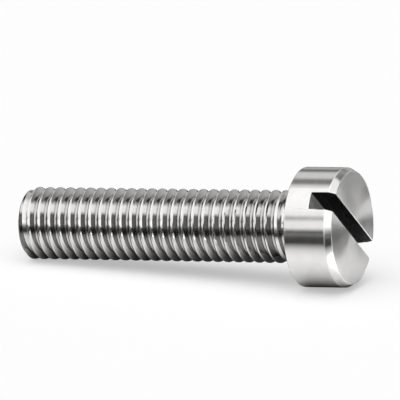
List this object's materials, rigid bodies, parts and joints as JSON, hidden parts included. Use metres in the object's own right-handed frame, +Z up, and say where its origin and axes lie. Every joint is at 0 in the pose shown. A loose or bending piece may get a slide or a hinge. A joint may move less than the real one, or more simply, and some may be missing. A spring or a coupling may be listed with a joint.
{
  "type": "slotted cheese head machine screw",
  "caption": "Fully threaded slotted cheese head machine screw in bright stainless steel, lying on its head's rim and its thread.",
  "frame": {"origin": "centre of the bounding box on the table, with the screw lying as it comes to rest", "axes": "+X along the screw towards its head, which is raised by the lie angle; +Z up from the table"},
  "size_m": [0.0476, 0.016, 0.0164],
  "materials": {
    "stainless_steel": "bright turned and rolled stainless steel, fine circular tool marks on head and face"
  },
  "bodies": {
    "root": {"cheese_head_screw": "stainless_steel"}
  },
  "joints": []
}
